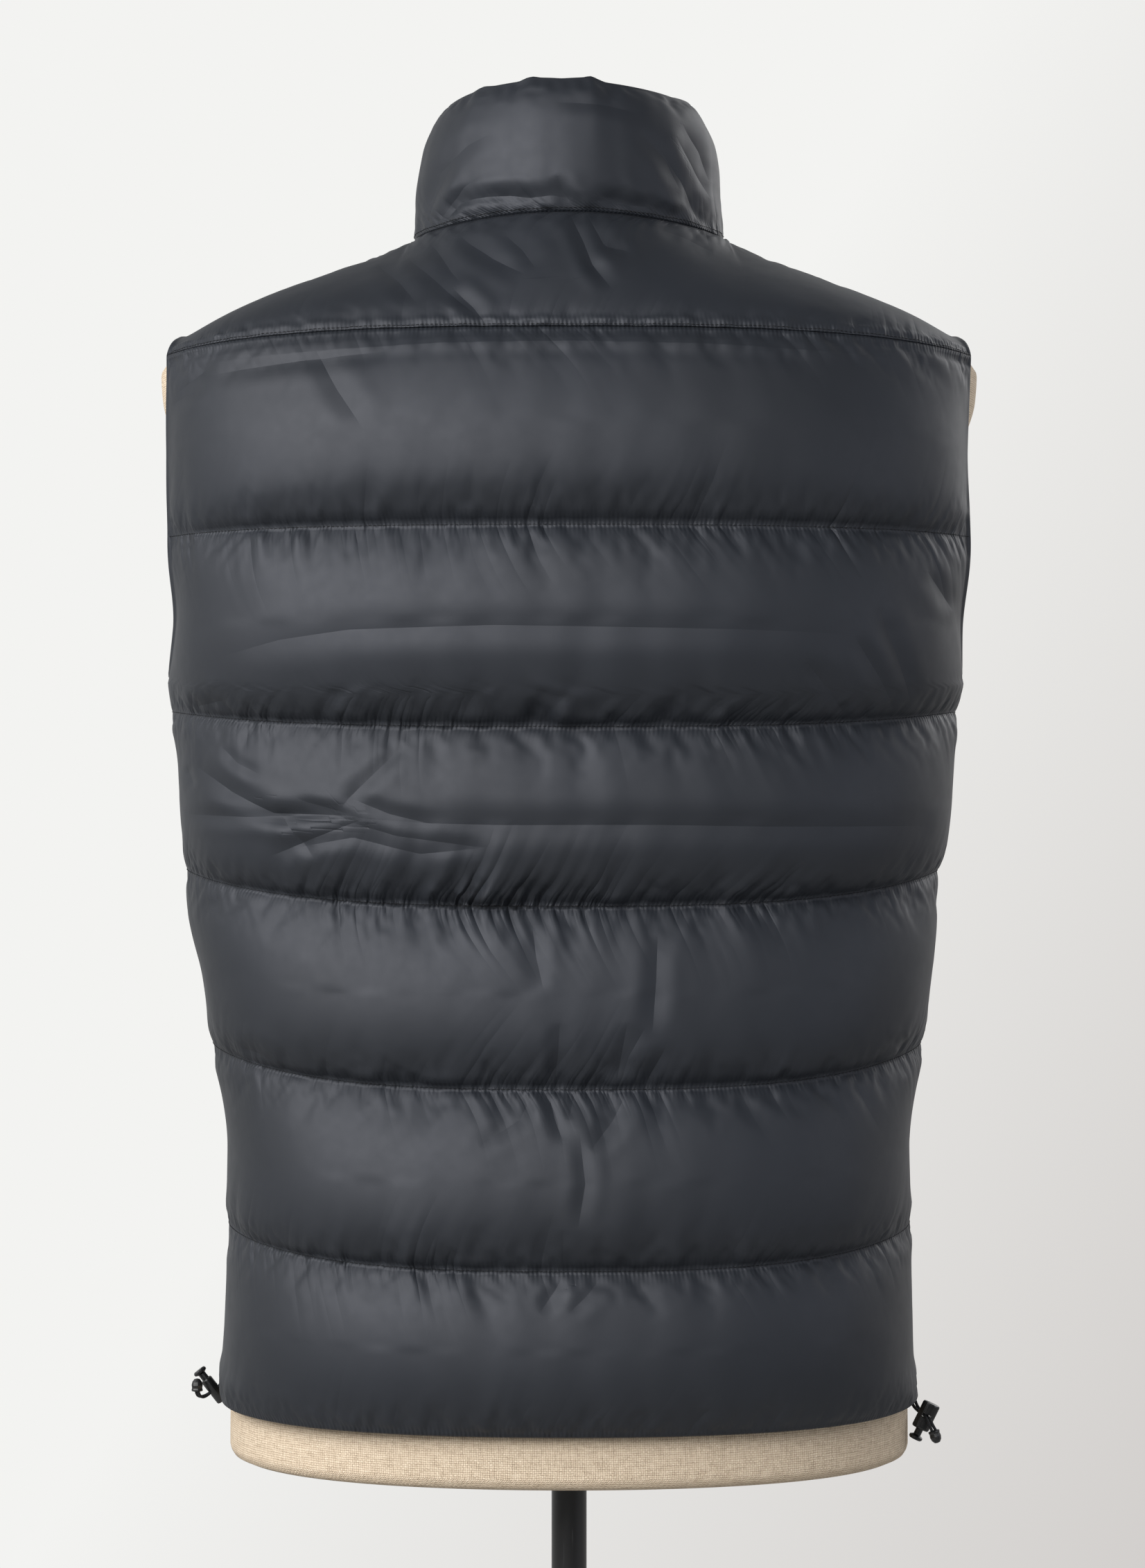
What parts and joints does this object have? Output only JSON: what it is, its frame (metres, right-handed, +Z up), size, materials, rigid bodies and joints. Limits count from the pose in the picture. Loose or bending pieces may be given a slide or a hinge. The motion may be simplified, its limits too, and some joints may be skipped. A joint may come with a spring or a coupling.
{
  "type": "sleeveless down vest on a limbless dress form",
  "caption": "Quilted sleeveless down vest with a stand collar, front zip and hem cord locks, worn by a linen dress form on a steel pole and round base.",
  "frame": {"origin": "centre of the underside of the round base, on the floor", "axes": "+Z up along the pole; the vest's front faces -Y and its back, which the picture shows, faces +Y; the wearer's left is +X"},
  "size_m": [0.478, 0.37, 1.5915],
  "materials": {
    "shell_nylon": "blue-black satin nylon taffeta, padded with down",
    "linen": "natural plain-weave linen",
    "zip_tape": "black woven tape with black moulded teeth",
    "zip_metal": "black painted zinc",
    "black_plastic": "black moulded nylon, slightly glossy",
    "elastic": "black braided elastic cord",
    "pole_paint": "black satin powder coat with fine scratches",
    "cap_wood": "dark stained wood"
  },
  "bodies": {
    "vest_on_stand": {"back_panel": "shell_nylon", "back_yoke": "shell_nylon", "front_left": "shell_nylon", "front_right": "shell_nylon", "collar": "shell_nylon", "form_torso": "linen", "form_neck_cap": "cap_wood", "form_pole": "pole_paint", "form_base": "pole_paint", "zip_tape_left": "zip_tape", "zip_tape_right": "zip_tape", "zip_slider": "zip_metal", "zip_box": "zip_metal", "cord_lock_left": "black_plastic", "cord_end_left": "black_plastic", "cord_left_a": "elastic", "cord_left_b": "elastic", "cord_lock_right": "black_plastic", "cord_end_right": "black_plastic", "cord_right_a": "elastic", "cord_right_b": "elastic"},
    "zip_pull": {"zip_pull": "zip_metal"},
    "plunger_left": {"cord_plunger_left": "black_plastic"},
    "plunger_right": {"cord_plunger_right": "black_plastic"}
  },
  "joints": [
    {"name": "zip_pull_swing", "type": "hinge", "parent": "vest_on_stand", "child": "zip_pull", "pos_m": [0, -0.09458, 1.55303], "axis": [-1, 0, 0], "range_deg": [0, 150]},
    {"name": "plunger_left_press", "type": "slide", "parent": "vest_on_stand", "child": "plunger_left", "axis": [-0.617, 0, -0.787], "range_m": [0, 0.003], "stiffness_N_per_m": 800, "springref_m": -0.002},
    {"name": "plunger_right_press", "type": "slide", "parent": "vest_on_stand", "child": "plunger_right", "axis": [-0.4372, 0, 0.8994], "range_m": [0, 0.003], "stiffness_N_per_m": 800, "springref_m": -0.002}
  ]
}
